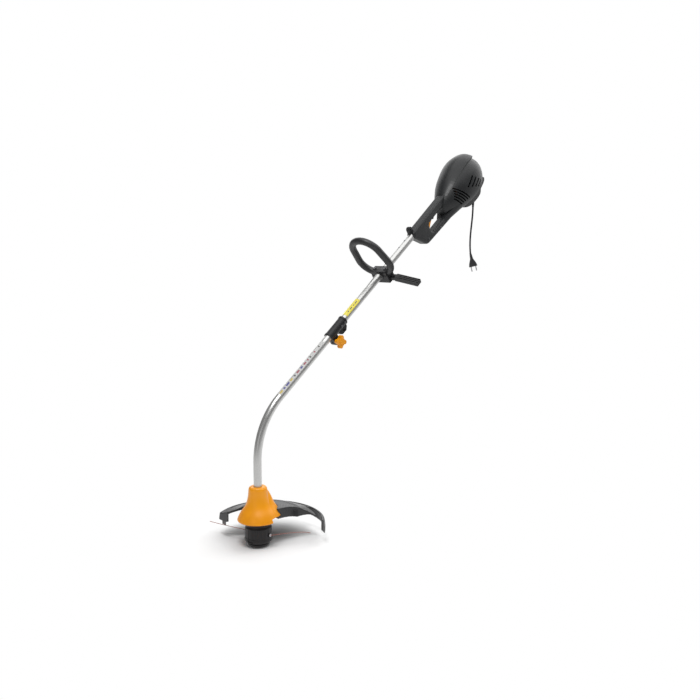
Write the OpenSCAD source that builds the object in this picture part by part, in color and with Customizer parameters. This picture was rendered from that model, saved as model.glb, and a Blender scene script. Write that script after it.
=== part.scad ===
// Electric string trimmer: motor and two-handed grip at the top of a leaning pole, a curved lower tube,
// a bell housing with a guard, and a bump-feed line head. Origin on the ground under the line head,
// +Z up, +X towards the operator, +Y to the operator's right.

/* [Pole] */
// Outer diameter of both aluminium tubes
tube_d = 26; // [24:0.5:29]
// Wall of both tubes
tube_wall = 1.5; // [1:0.1:2]
// Lean of the straight pole from the vertical, in degrees
lean = 52; // [48:0.5:56]
// Height where the lower tube starts to bend
bend_z = 268; // [255:1:290]
// Radius of the bend, to the tube's centre
bend_r = 248; // [235:1:265]
// Where the coupling starts, along the straight pole
coupling_s = 280; // [265:1:295]
// Length of the coupling sleeve
coupling_len = 90; // [86:1:110]
// Where the loop handle is clamped
handle_s = 623; // [580:1:660]
// Where the rear handle's neck starts
neck_s = 829; // [800:1:860]

/* [Line head] */
// Radius of the bump knob
bump_r = 36; // [32:0.5:38]
// Height of the knob below the cap
bump_h = 11; // [10:0.5:13]
// Outer radius of the drum that holds the spool
drum_r = 42; // [38:0.5:46]
// Height of the drum
drum_h = 50; // [46:0.5:51]
// Wall of the drum and its cap
drum_wall = 2.5; // [2:0.1:3]
// Upward travel of the bump knob
bump_travel = 4; // [2:0.5:5]
// Radius of the cutting line
line_r = 1; // [0.6:0.1:1.5]
// Distance from the head's axis to the end of the line
line_reach = 200; // [160:1:202]
// Angle of the first line round the head
line_angle = 104; // [98:1:108]

/* [Bell housing and guard] */
// Height of the rim of the bell
bell_rim_z = 84; // [82:0.5:88]
// Height of the top of the bell
bell_top_z = 192; // [180:1:210]
// Radius of the rim of the bell
bell_rim_r = 66; // [60:0.5:72]
// Radius of the top of the bell
bell_top_r = 29; // [26:0.5:32]
// Wall of the bell
bell_wall = 2.5; // [2:0.1:4]
// Height of the step at the back of the bell, where the guard fits
guard_step = 12; // [10:0.5:14]
// Radius of the guard's outer skirt
guard_r = 179; // [174:1:184]
// Distance of the guard's centre behind the head's axis
guard_x = 40; // [36:1:44]
// Distance of the guard's centre to the operator's left
guard_y = 6; // [2:0.5:10]
// Wall of the guard
guard_wall = 3; // [2:0.1:4]
// Height of the guard's shoulder
guard_z = 76; // [73:1:79]
// Height of the bottom of the skirt at its short end
skirt_z = 56; // [52:1:60]

/* [Loop handle] */
// Diameter of the ring's grip
grip_d = 25; // [20:0.5:30]
// Radius of the ring's top
ring_top_r = 59; // [52:1:64]
// Height of the centre of the ring's top above the pole
ring_top_n = 105; // [95:1:120]
// Radius of the ring's lower corners
ring_low_r = 54; // [46:1:58]
// Distance of the lower corners' centres from the middle
ring_low_y = 13; // [9:1:20]
// Forward tilt of the ring, in degrees
ring_tilt = 9; // [0:1:15]
// Half width of the clamp block
clamp_w = 36; // [33:0.5:38]
// Depth of the clamp along the pole
clamp_len = 34; // [28:1:42]
// Wall of the rubber liner under the clamp
liner_wall = 2; // [1:0.1:3]
// Length of the barrier bar
bar_len = 95; // [90:1:120]
// Droop of the barrier bar, in degrees
bar_droop = 13; // [0:1:20]

/* [Motor housing and rear handle] */
// Width of the rear handle
body_w = 38; // [36:1:44]
// Radius of the handle's rounded edges
edge_r = 8; // [6:0.5:9]
// Where the motor housing is widest, along the straight pole
motor_s = 1200; // [1190:1:1210]
// Greatest radius of the motor housing
motor_r = 83.5; // [80:0.5:86]
// Drop of the motor housing's centre below the pole's axis
motor_drop = 17; // [14:0.5:19]
// Upward tilt of the motor housing from the pole, in degrees
motor_tilt = 6; // [0:0.5:8]
// Wall of the motor housing
motor_wall = 3; // [2:0.1:4]
// Number of cooling slots on each side
vent_count = 5; // [3:1:6]
// Width of a cooling slot
vent_w = 5; // [3:0.5:6]

/* [Cord] */
// Diameter of the mains cord
cord_d = 7; // [6:0.5:8]

/* [Hidden] */
$fn = 64;
running = 0.06;   // radial clearance of a shaft in its bore
slip = 0.1;       // radial clearance of tubes that slide by hand
seat = 0.3;       // clearance between pieces on different bodies
tube_r = tube_d / 2;
bore_r = tube_r - tube_wall;

// ---- shared frames ----

// Frame of the straight pole: +Z up the pole, -X away from the ground, origin at the end of the bend
module on_pole(s = 0)
    translate([bend_r * (1 - cos(lean)), 0, bend_z + bend_r * sin(lean)])
        rotate([0, lean, 0]) translate([0, 0, s]) children();

// Frame across the pole: X to the operator's right, Y up from the pole, Z along it
module across_pole(s = 0) on_pole(s) rotate([0, 0, 90]) children();

// A side profile drawn as (distance along the pole, height above its axis), thick across the middle
module side_plate(w) on_pole() rotate([90, 0, 0]) rotate([0, 0, 90]) linear_extrude(w, center = true)
    children();

// A pin across the tool, at a place on the side profile
module cross_pin(s, n, r, y0, y1) across_pole(s) translate([y0, n, 0]) rotate([0, 90, 0])
    cylinder(r = r, h = y1 - y0);

// A round pipe or rod along the curved lower tube, from a foot height to a place on the straight pole
module boom_pipe(d, hole_d, foot_z, top_s) {
    translate([0, 0, foot_z]) linear_extrude(bend_z - foot_z) annulus(d, hole_d);
    translate([bend_r, 0, bend_z]) rotate([90, 0, 180]) rotate_extrude(angle = lean)
        translate([bend_r, 0]) annulus(d, hole_d);
    on_pole() linear_extrude(top_s) annulus(d, hole_d);
}
module annulus(d, hole_d) difference() {
    circle(d = d);
    if (hole_d > 0) circle(d = hole_d);
}
module tube(r, hole_r, h) linear_extrude(h) annulus(2 * r, 2 * hole_r);

// Points of an arc about a centre
function arc(c, r, a0, a1, steps = 8) = [for (i = [0:steps]) let (a = a0 + (a1 - a0) * i / steps)
    c + r * [cos(a), sin(a)]];

// A round section swept along a list of points
function unit(v) = v / norm(v);
function path_dir(p, i) = unit(p[min(i + 1, len(p) - 1)] - p[max(i - 1, 0)]);
module swept(path, r, sides, side_dir = [0, 1, 0]) {
    last = len(path) - 1;
    rings = [for (i = [0:last]) let (t = path_dir(path, i), u = unit(cross(side_dir, t)), v = cross(t, u))
        for (k = [0:sides - 1]) path[i] + r * (cos(360 * k / sides) * u + sin(360 * k / sides) * v)];
    walls = [for (i = [0:last - 1], k = [0:sides - 1])
        let (a = i * sides + k, b = i * sides + (k + 1) % sides)
            each [[a, b, b + sides], [a, b + sides, a + sides]]];
    ends = [[for (k = [sides - 1:-1:0]) k], [for (k = [0:sides - 1]) last * sides + k]];
    polyhedron(points = rings, faces = [for (f = concat(walls, ends)) [for (j = [len(f) - 1:-1:0]) f[j]]],
        convexity = 6);
}
// A smooth curve through the points of a list, by Catmull-Rom
function on_curve(p0, p1, p2, p3, t) = 0.5 * (2 * p1 + (p2 - p0) * t + (2 * p0 - 5 * p1 + 4 * p2 - p3) * t * t
    + (3 * p1 - p0 - 3 * p2 + p3) * t * t * t);
function smooth(p, steps) = [for (i = [0:len(p) - 2], k = [0:steps - 1])
    on_curve(p[max(i - 1, 0)], p[i], p[i + 1], p[min(i + 2, len(p) - 1)], k / steps), p[len(p) - 1]];

// ---- line head ----

spindle_r = 5;
bearing_r = 13;
bearing_h = 8;
bearing_z = [bell_rim_z + 4, bell_rim_z + 38];
cap_z = bump_h + bump_travel + 0.5;
cap_h = 10;
drum_z = cap_z + cap_h;
drum_top = drum_z + drum_h;
neck_r = bump_r - 10;
spool_z = drum_z + 1;
spool_h = 27;
flange = 2.5;
hub_r = 17;
spindle_foot = spool_z + bump_travel + 2;
eyelet_z = drum_z + 14.5;
eyelet_hole = line_r + 0.6;
eyelet_r = 4;

module bump_knob() color("#201e20") rotate_extrude() polygon([[0, 0], [bump_r - 12, 0],
    each arc([bump_r - 10, 10], 10, -85, 0), [bump_r, bump_h], [neck_r, bump_h], [neck_r, spool_z],
    [0, spool_z]]);

spool_r = drum_r - drum_wall - 2;
module spool() color("#2b2a2c") translate([0, 0, spool_z]) difference() {
    union() {
        cylinder(r = hub_r, h = spool_h);
        for (z = [0, (spool_h - flange) / 2, spool_h - flange]) translate([0, 0, z])
            cylinder(r = spool_r, h = flange);
    }
    translate([0, 0, -1]) cylinder(r = spindle_r + running, h = spool_h + 2);
}

module spooled_line() color("#b2562f") for (z = [flange, (spool_h + flange) / 2])
    translate([0, 0, spool_z + z]) tube(drum_r - drum_wall - 8, hub_r, (spool_h - 3 * flange) / 2);

spring_r = 12;
spring_wire = 0.8;
spring_z0 = spool_z + spool_h + spring_wire + 0.1;
spring_z1 = drum_top - drum_wall - spring_wire - 0.1;
spring_turns = 3;
module bump_spring() color("#a9abae") swept([for (i = [0:12 * spring_turns]) let (a = 30 * i)
    [spring_r * cos(a), spring_r * sin(a), spring_z0 + (spring_z1 - spring_z0) * i / (12 * spring_turns)]],
    spring_wire, 8, [0, 0, 1]);

module head_drum() color("#232124") difference() {
    union() {
        translate([0, 0, drum_z]) rotate_extrude() polygon([[drum_r - drum_wall, 0], [drum_r + 1, 0],
            [drum_r + 1, 4], [drum_r, 5], [drum_r, drum_h - 14], [drum_r - 3, drum_h - 8],
            [drum_r - 4, drum_h], [spindle_r, drum_h], [spindle_r, drum_h - drum_wall],
            [drum_r - drum_wall - 4, drum_h - drum_wall], [drum_r - drum_wall - 3, drum_h - 10],
            [drum_r - drum_wall, drum_h - 16]]);
        for (k = [0:17]) rotate(20 * k) translate([drum_r - 0.7, -1.5, drum_z + 3])
            cube([1.4, 3, drum_h - 19]);
        for (side = [0, 180]) rotate(line_angle + side) translate([drum_r - drum_wall / 2, 0, eyelet_z])
            rotate([0, 90, 0]) cylinder(r = eyelet_r + 2.5, h = 3);
    }
    for (side = [0, 180]) rotate(line_angle + side) translate([drum_r - 8, 0, eyelet_z]) rotate([0, 90, 0])
        cylinder(r = eyelet_r, h = 16);
}

module head_cap() color("#1d1b1d") difference() {
    translate([0, 0, cap_z]) rotate_extrude() polygon([[neck_r + 1.5, 0], [drum_r - 5, 0],
        each arc([drum_r - 3, 5], 5, -90, 0, 5), [drum_r + 2, cap_h], [drum_r - drum_wall, cap_h],
        [drum_r - drum_wall, 6], [neck_r + 1.5, 3]]);
    for (side = [0, 180]) rotate(line_angle + 90 + side) translate([drum_r - 1, -9, cap_z + 4])
        cube([8, 18, 6]);
}

module line_eyelets() color("#c9c9c6") for (side = [0, 180]) rotate(line_angle + side)
    translate([drum_r - drum_wall, 0, eyelet_z]) rotate([0, 90, 0]) {
        tube(eyelet_r, eyelet_hole, 6);
        translate([0, 0, 6]) rotate_extrude() polygon([[eyelet_hole, 0], [eyelet_r + 1, 0],
            [eyelet_r + 0.6, 1.2], [eyelet_hole + 0.8, 1.6]]);
    }

// One line leaves its eyelet straight, and the other bends back round a kink, (along, sideways)
line_start = spool_r + 0.5;
straight_line = [[line_start, 0], [90, 0.5], [145, 0], [line_reach, -3]];
kinked_line = [[line_start, 0], [drum_r + 3, 0], [drum_r + 6.5, 0.3], [drum_r + 15, 11], [78, 36],
    [100, 57], [123, 74], [145, 79]];
module cutting_line() color("#c46a4a") for (side = [0, 1]) rotate(line_angle + 180 * side)
    swept([for (p = smooth(side == 0 ? straight_line : kinked_line, 4)) [p[0], p[1], eyelet_z]],
        line_r, 8, [0, 0, 1]);

// Depth to which the drive cable's round end sits in the spindle
cable_r = 3.5;
cable_seat = 16;
spindle_top = bearing_z[1] + bearing_h + 20;
module head_spindle() color("#b9bbbd") difference() {
    rotate_extrude() polygon([[0, spindle_foot], [spindle_r, spindle_foot], [spindle_r, drum_top],
        [9, drum_top], [9, drum_top + 1.5], [spindle_r, drum_top + 1.5], [spindle_r, spindle_top],
        [0, spindle_top]]);
    translate([0, 0, spindle_top - cable_seat]) cylinder(r = cable_r + running, h = cable_seat + 1);
}

module dust_washer() color("#8e8f92") translate([0, 0, drum_top + 1.5]) rotate_extrude()
    polygon([[spindle_r, 0], [hub_r - 2, 0], [hub_r + 2, 3], [hub_r + 3, 3], [hub_r + 3, 4],
        [hub_r + 1, 4], [hub_r - 3, 1], [spindle_r, 1]]);

// ---- bell housing and guard ----

module spindle_bearings() color("#c6c8ca") for (z = bearing_z) translate([0, 0, z]) {
    rotate_extrude() difference() {
        translate([spindle_r + running, 0]) square([bearing_r - spindle_r - running, bearing_h]);
        translate([spindle_r + 2.6, -1]) square([bearing_r - spindle_r - 5.2, 1.8]);
        translate([spindle_r + 2.6, bearing_h - 0.8]) square([bearing_r - spindle_r - 5.2, 1.8]);
    }
}

boss_r = bearing_r + 4;
boss_foot = bearing_z[0];
tube_foot = bell_top_z - 44;
step_z = bell_rim_z + guard_step;
bell_drop = bell_top_z - bell_rim_z;
// Outer line of the bell, from the shoulder to the rim; the shoulder is drawn in by a distance
function bell_curve(in) = smooth([[max(8, bell_top_r - 6 - in), bell_top_z],
    [max(10, bell_top_r - in), bell_top_z - 6], [bell_top_r + 3 - in / 4, bell_top_z - 0.3 * bell_drop],
    [bell_top_r + 10.5, bell_top_z - 0.55 * bell_drop], [bell_rim_r - 11, bell_rim_z + 0.24 * bell_drop],
    [bell_rim_r - 3, bell_rim_z + 0.1 * bell_drop], [bell_rim_r, bell_rim_z + 3]], 4);
bell_line = bell_curve(0);
step_angle = 84;
// Swelling of the bell at its back
flare_x = 22;
flare_in = 5;
flare_line = [for (p = bell_curve(flare_x - flare_in)) p - [flare_in, 0]];

// Solid under the bell's outer line, grown by d and shrunk by a wall
module bell_solid(line, d) rotate_extrude($fn = 96) polygon(concat([[0, line[0][1]]],
    [for (p = line) p + [d, 0]], [[line[len(line) - 1][0] + d, bell_rim_z], [0, bell_rim_z]]));
module bell_outside(d) {
    bell_solid(bell_line, d);
    intersection() {
        translate([flare_x, 0, 0]) bell_solid(flare_line, d);
        translate([-200, -200, step_z]) cube(400);
    }
}
module bell_inside() rotate_extrude($fn = 96) polygon(concat(
    [[0, bell_top_z - 8], [bell_top_r - bell_wall, bell_top_z - 8]],
    [for (p = bell_line) if (p[1] < bell_top_z - 10) p - [bell_wall, 0]],
    [[bell_rim_r - bell_wall, bell_rim_z - 1], [0, bell_rim_z - 1]]));
module rear_sector(r0, r1, z0, z1, a) rotate(-a) rotate_extrude(angle = 2 * a) translate([r0, z0])
    square([r1 - r0, z1 - z0]);

module bell_housing() color("#f39a1e") difference() {
    union() {
        difference() {
            bell_outside(0);
            bell_inside();
        }
        rotate_extrude() polygon([[boss_r, boss_foot], [boss_r, bell_top_z - 7], [0, bell_top_z - 7],
            [0, boss_foot]]);
        intersection() {
            bell_outside(0);
            for (a = screw_angles) rotate(a) translate([guard_screw_r, 0, step_z]) cylinder(r = 4.5, h = 60);
        }
    }
    translate([0, 0, tube_foot]) cylinder(r = tube_r, h = 100);
    translate([0, 0, boss_foot - 1]) cylinder(r = bearing_r, h = tube_foot - boss_foot - 3);
    cylinder(r = tube_r - 3, h = 250);
    rear_sector(boss_r + 5, 2 * bell_rim_r, bell_rim_z - 1, step_z, step_angle);
    for (a = screw_angles) rotate(a) translate([guard_screw_r, 0, step_z - 1]) cylinder(r = 1.6, h = 15);
}

screw_angles = [-55, 0, 55];
guard_screw_r = 41;
guard_front = -40;
guard_top = guard_z + 42;
guard_roll = 1.5;
lip_h = 33;
// Front edge on the operator's left, from the bell out to the horn of the skirt
horn_edge = smooth([[20, -46], [52, -50], [90, -55], [124, -61], [147, -80], [155, -110], [152, -134],
    [142, -155], [136, -180]], 4);
// Height of the crown from the guard's centre to the skirt
crown = smooth([[14, guard_top + 3], [60, guard_top], [92, guard_z + 33], [112, guard_z + 23],
    [142, guard_z + 11], [guard_r - 15, guard_z + 1], [guard_r - 10, guard_z + 3], [guard_r - 4, guard_z],
    [guard_r - 2, guard_z - 6], [guard_r, guard_z - 18]], 4);
module on_guard() translate([guard_x, -guard_y, 0]) rotate([guard_roll, 0, 0]) children();
module guard_ring() on_guard() rotate(-90) rotate_extrude(angle = 215, $fn = 120) children();
module horn_cut(d) translate([d, d]) polygon(concat([[-200, horn_edge[0][1]]], horn_edge,
    [[horn_edge[len(horn_edge) - 1][0], -300], [-200, -300]]));
module guard_column(d = 0) linear_extrude(200) difference() {
    translate([guard_front + d, -250]) square(500);
    horn_cut(d);
}
inner_r = guard_r - guard_wall;
module guard_block() intersection() {
    guard_ring() polygon(concat(crown, [[guard_r, 20], [guard_r - 22, 20]],
        [for (i = [len(crown) - 1:-1:0]) if (crown[i][0] < guard_r - 22) crown[i] - [0, lip_h]]));
    guard_column();
}
// Space under the crown, inside the skirt and the two lips, but outside the collar round the bell
module guard_hollow() difference() {
    intersection() {
        guard_ring() polygon(concat([[0, 10], [0, guard_top]],
            [for (p = crown) if (p[0] < inner_r - 2) p - [0, guard_wall]],
            [[inner_r, guard_z - 16], [inner_r, 10]]));
        translate([0, 0, -1]) guard_column(guard_wall);
    }
    translate([flare_x, 0, 0]) cylinder(r = bell_rim_r + 1, h = 200);
}
module guard() color("#262629") difference() {
    union() {
        difference() {
            guard_block();
            guard_hollow();
            // the lip on the horn's side is shallower
            on_guard() intersection() {
                cylinder(r = guard_r - 14, h = 150);
                translate([12, -200, guard_z - 9]) rotate([0, -9, 0]) translate([-160, 0, -150])
                    cube([350, 190, 150]);
            }
            cylinder(r = bell_rim_r - 16, h = 200);
        }
        rear_sector(boss_r + 6, bell_rim_r - 15, step_z - guard_wall, step_z, step_angle - 1);
    }
    // the skirt's bottom edge rises from the horn to the short end
    translate([0, 0, skirt_z - 10]) rotate([3.6, 0, 0]) translate([-250, -250, -100]) cube([600, 500, 100]);
    translate([0, 0, -0.02]) intersection() {
        bell_outside(0.3);
        translate([-200, -200, step_z]) cube(400);
    }
    rotate(step_angle - 0.4) rotate_extrude(angle = 360.8 - 2 * step_angle)
        polygon([[0, 0], [bell_rim_r + 0.4, 0], [bell_rim_r + 0.4, step_z + 0.1], [0, step_z + 0.1]]);
    for (a = screw_angles) rotate(a) translate([guard_screw_r, 0, step_z - guard_wall - 1])
        cylinder(r = 2.2, h = guard_wall + 2);
}

module guard_screws() color("#9fa1a4") for (a = screw_angles) rotate(a)
    translate([guard_screw_r, 0, step_z - guard_wall]) {
    cylinder(r = 1.6, h = 14 + guard_wall);
    translate([0, 0, -2.5]) cylinder(r = 4, h = 2.5);
}

// Line knife on the inner face of the short end's lip
knife_y = guard_r - 49;
knife_z = guard_z - 6.5;
module on_knife() translate([guard_front + guard_wall, knife_y, knife_z]) rotate([0, 90, 0]) children();
module line_knife() color("#c9cbcd") on_knife() difference() {
    translate([-8, -9, 0]) cube([34, 18, 1.5]);
    for (y = [-5, 5]) translate([0, y, -1]) cylinder(r = 2.1, h = 4);
    translate([26, -9, -1]) rotate(-50) cube([20, 20, 4]);
}
module knife_screws() color("#9fa1a4") on_knife() for (y = [-5, 5]) translate([0, y, 1.5])
    cylinder(r = 3.4, h = 1.8);

// ---- lower boom ----

boom_top = coupling_s + 50;
module lower_tube() color("#c4c5c7") boom_pipe(tube_d, 2 * bore_r, tube_foot, boom_top);

liner_d = 13;
liner_hole = 2 * cable_r + 1;
liner_foot = spindle_top + 4;
module cable_liner() color("#e8e6df") {
    boom_pipe(liner_d, liner_hole, liner_foot, boom_top - 24);
    for (z = [tube_foot + 2, bend_z - 20]) translate([0, 0, z]) tube(bore_r - 0.05, liner_d / 2, 12);
    for (s = [20, boom_top - 44]) on_pole(s) tube(bore_r - 0.05, liner_d / 2, 12);
}
module drive_cable() color("#6f7174") boom_pipe(2 * cable_r, 0, spindle_top - cable_seat + 0.5, boom_top - 6);

// ---- coupling ----

coupling_wall = 3.2;
lug_s = coupling_s + 17;
lug_n = -32;
lug_w = 12;
bolt_r = 3;
bolt_bore = bolt_r + running;
slot_w = 3;
module coupling_sleeve() color("#232326") difference() {
    union() {
        on_pole(coupling_s) cylinder(r = tube_r + coupling_wall, h = coupling_len);
        for (s = [0, coupling_len - 6]) on_pole(coupling_s + s)
            cylinder(r = tube_r + coupling_wall + 1.2, h = 6);
        // clamp lug of the lower half
        side_plate(2 * lug_w) union() {
            translate([lug_s, lug_n]) circle(r = 13);
            translate([lug_s - 13, lug_n]) square([26, -lug_n]);
        }
        // lug of the upper half, with its hanging eye
        side_plate(14) polygon([[coupling_s + 40, -10], [coupling_s + 46, -26], [coupling_s + 54, -33],
            [coupling_s + 76, -33], [coupling_s + coupling_len - 3, -22],
            [coupling_s + coupling_len - 3, -10]]);
    }
    on_pole(coupling_s - 1) cylinder(r = tube_r + slip, h = coupling_len + 2);
    side_plate(slot_w) translate([coupling_s - 2, lug_n - 20]) square([58, 20 - lug_n]);
    cross_pin(lug_s, lug_n, bolt_r + 0.2, -lug_w - 1, lug_w + 1);
    cross_pin(coupling_s + 67, -24.5, 4.5, -10, 10);
    for (s = coupling_screw_s) cross_pin(s, 0, 2.2, -tube_r - coupling_wall - 3, -tube_r + 1);
}

coupling_screw_s = [coupling_s + 60, coupling_s + 79];
module coupling_screws() color("#1b1b1d") for (s = coupling_screw_s) {
    cross_pin(s, 0, 2.1, -tube_r - coupling_wall, -tube_r - slip);
    cross_pin(s, 0, 4, -tube_r - coupling_wall - 2.4, -tube_r - coupling_wall);
}

knob_h = 19;
knob_lobe_r = 7.5;
knob_c_r = 15;
knob_gap = 1;
knob_hub = 5;
bolt_end = lug_w + knob_gap + knob_h - 4;
module coupling_bolt() color("#b4b6b9") {
    cross_pin(lug_s, lug_n, bolt_r, -bolt_end, lug_w);
    across_pole(lug_s) translate([lug_w, lug_n, 0]) rotate([0, 90, 0]) cylinder(r = 5.8, h = 5, $fn = 6);
}

module coupling_knob() color("#f6a21f") across_pole(lug_s) translate([-lug_w - knob_gap, lug_n, 0])
    rotate([0, -90, 0]) difference() {
    union() {
        cylinder(r = 9, h = knob_hub + 1);
        translate([0, 0, knob_hub]) linear_extrude(knob_h - knob_hub - 1) {
            circle(knob_c_r);
            for (a = [45:90:315]) rotate(a) translate([knob_c_r, 0]) circle(knob_lobe_r);
        }
        translate([0, 0, knob_hub + 1]) cylinder(r = 11, h = knob_h - knob_hub - 1);
    }
    translate([0, 0, -1]) cylinder(r = bolt_bore, h = knob_h - 2);
}

// ---- upper tube and drive shaft ----

upper_foot = boom_top + 0.4;
upper_top = neck_s + 74;
module upper_tube() color("#c4c5c7") on_pole(upper_foot) tube(tube_r, bore_r, upper_top - upper_foot);

shaft_r = 4;
socket_r = 7;
socket_foot = boom_top - 18;
// Drive shaft, with a socket for the drive cable and a joiner to the motor's own shaft
module drive_shaft() color("#a7a9ac") on_pole() difference() {
    union() {
        translate([0, 0, socket_foot]) cylinder(r = socket_r, h = 26);
        translate([0, 0, socket_foot + 26]) cylinder(r = shaft_r, h = motor_shaft_top - socket_foot - 26);
        translate([0, 0, joiner_s]) cylinder(r = 8, h = joiner_l);
    }
    translate([0, 0, socket_foot - 1]) cylinder(r = cable_r + running, h = 15);
}
bush_s = [upper_foot + 40, (upper_foot + upper_top) / 2, upper_top - 20];
module shaft_bushes() color("#e6e2d8") for (s = bush_s) on_pole(s) tube(bore_r - 0.02, shaft_r + running, 16);

// ---- loop handle ----

liner_r = tube_r + slip + liner_wall;
module on_handle() across_pole(handle_s) children();
// The ring's tilted plane, through the pole's axis
module on_ring() on_handle() rotate([-ring_tilt, 0, 0]) children();

module handle_liner() color("#19191a") on_handle() translate([0, 0, -clamp_len / 2 - 2]) {
    tube(liner_r, tube_r + slip, clamp_len + 4);
    tube(liner_r + 1.5, tube_r + slip, 1.6);
}

ring_low_n = ring_low_r + 3;
// Angle of the straight sides' normal, from the two circles that they join
side_dx = -ring_low_y;
side_dy = ring_top_n - ring_low_n;
side_a = atan2(side_dy, side_dx) - acos((ring_low_r - ring_top_r) / norm([side_dx, side_dy]));
side_len = sqrt(side_dx * side_dx + side_dy * side_dy - pow(ring_top_r - ring_low_r, 2));
function ring_half(m) = [for (p = concat(arc([0, ring_top_n], ring_top_r, 90, side_a, 12),
    arc([ring_low_y, ring_low_n], ring_low_r, side_a, -90, 16))) [m * p[0], p[1], 0]];
ring_path = concat([for (i = [29:-1:1]) ring_half(-1)[i]], ring_half(1));
module ring_grip() swept(ring_path, grip_d / 2, 20, [0, 0, 1]);
block_n = 18;
clamp_gap = 1;
clamp_bolt_y = 22.5;
clamp_bolt_r = 3;
module loop_handle() color("#222224") difference() {
    union() {
        on_ring() ring_grip();
        on_handle() translate([-clamp_w, clamp_gap / 2, -clamp_len / 2])
            cube([2 * clamp_w, block_n, clamp_len]);
    }
    on_handle() {
        translate([0, 0, -clamp_len]) cylinder(r = liner_r + seat, h = 2 * clamp_len);
        translate([-clamp_w - 3, -30, -clamp_len]) cube([2 * clamp_w + 6, 30 + clamp_gap / 2, 2 * clamp_len]);
        for (y = [-1, 1]) translate([y * clamp_bolt_y, -1, 0]) rotate([-90, 0, 0])
            cylinder(r = clamp_bolt_r + 0.2, h = 40);
        for (y = [-1, 1]) translate([y * clamp_bolt_y, block_n - 1, 0]) rotate([-90, 0, 0])
            cylinder(r = 6.4, h = 20);
    }
}
clamp_n = -31;
module handle_clamp() color("#1f1f21") on_handle() difference() {
    translate([-clamp_w, clamp_n, -clamp_len / 2]) cube([2 * clamp_w, -clamp_n - clamp_gap / 2, clamp_len]);
    translate([0, 0, -clamp_len]) cylinder(r = liner_r + seat, h = 2 * clamp_len);
    for (y = [-1, 1]) translate([y * clamp_bolt_y, clamp_n - 1, 0]) rotate([-90, 0, 0])
        cylinder(r = clamp_bolt_r + 0.2, h = 2 - clamp_n);
    for (y = [-1, 1]) translate([y * (clamp_w + 3), clamp_n - 3, -clamp_len]) rotate([0, 0, 45])
        cube([9, 9, 2 * clamp_len]);
}
module handle_bolts() color("#b4b6b9") on_handle() for (y = [-1, 1]) translate([y * clamp_bolt_y, 0, 0])
    rotate([-90, 0, 0]) {
    translate([0, 0, clamp_n - 7]) cylinder(r = clamp_bolt_r, h = block_n - 1 - clamp_n + 7);
    translate([0, 0, block_n - 1]) cylinder(r = 5.8, h = 5);
}
module handle_nuts() color("#b4b6b9") on_handle() for (y = [-1, 1])
    translate([y * clamp_bolt_y, clamp_n, 0]) rotate([90, 0, 0]) difference() {
        cylinder(r = 6, h = 5, $fn = 6);
        translate([0, 0, -1]) cylinder(r = clamp_bolt_r, h = 7);
    }

arm_len = 26;
arm_n = -19;
bar_t = 15;
bar_w = 24;
module barrier_bar() color("#232325") on_handle() translate([-clamp_w, arm_n, 0]) difference() {
    union() {
        translate([-arm_len, -6, -10]) cube([arm_len, 12, 20]);
        translate([-arm_len + 4, 0, 0]) rotate([0, 0, bar_droop])
            translate([-bar_len, -bar_t / 2, -bar_w / 2]) difference() {
            cube([bar_len, bar_t, bar_w]);
            for (z = [4.5, 12, 19.5]) translate([-1, bar_t - 2, z - 1.5]) cube([bar_len - 12, 3, 3]);
            for (z = [7, 17]) translate([6, -1, z - 3]) cube([bar_len - 20, 7, 6]);
        }
    }
    translate([-9, -7, 0]) rotate([-90, 0, 0]) cylinder(r = 2.3, h = 20);
}
module bar_screw() color("#9fa1a4") on_handle() translate([-clamp_w - 9, arm_n, 0]) rotate([-90, 0, 0]) {
    translate([0, 0, -6]) cylinder(r = 2.1, h = 12);
    translate([0, 0, 6]) cylinder(r = 4.2, h = 2.5);
}

// ---- rear handle and motor housing ----

toe_s = neck_s + 64;
toe_n = -41;
toe_r = 31;
grip_top = 15.5;
heel_s = neck_s + 250;
heel_r = 22;
heel_n = -58;
finger_s0 = neck_s + 96;
finger_s1 = neck_s + 226;
finger_n0 = -52;
finger_n1 = -12;
finger_r = 13;
module handle_profile() difference() {
    hull() {
        translate([neck_s + 17, 0]) circle(r = 17);
        translate([toe_s, toe_n]) circle(r = toe_r);
        translate([heel_s, heel_n]) circle(r = heel_r);
        translate([heel_s, grip_top - heel_r + 4]) circle(r = heel_r);
    }
    hull() for (s = [finger_s0 + finger_r, finger_s1 - finger_r],
        n = [finger_n0 + finger_r, finger_n1 - finger_r]) translate([s, n]) circle(r = finger_r);
}
// The handle's moulding, with its edges rounded all over
module handle_body() minkowski() {
    side_plate(body_w - 2 * edge_r) offset(delta = -edge_r) handle_profile($fn = 48);
    sphere(r = edge_r, $fn = 20);
}

// Outer line of the motor housing, as (radius, distance along the pole)
egg = smooth([[20, motor_s - 168], [40, motor_s - 140], [57, motor_s - 105], [motor_r - 13, motor_s - 70],
    [motor_r - 5, motor_s - 35], [motor_r - 1, motor_s], [motor_r - 3, motor_s + 34],
    [motor_r - 13, motor_s + 62], [motor_r - 30, motor_s + 88], [motor_r - 49, motor_s + 105],
    [18, motor_s + 116]], 3);
egg_end = egg[len(egg) - 1][1];
cap_s = motor_s + 62;
cover_s0 = motor_s - 131;
cover_s1 = motor_s + 88.01;
tilt_s = motor_s - 50;
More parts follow.
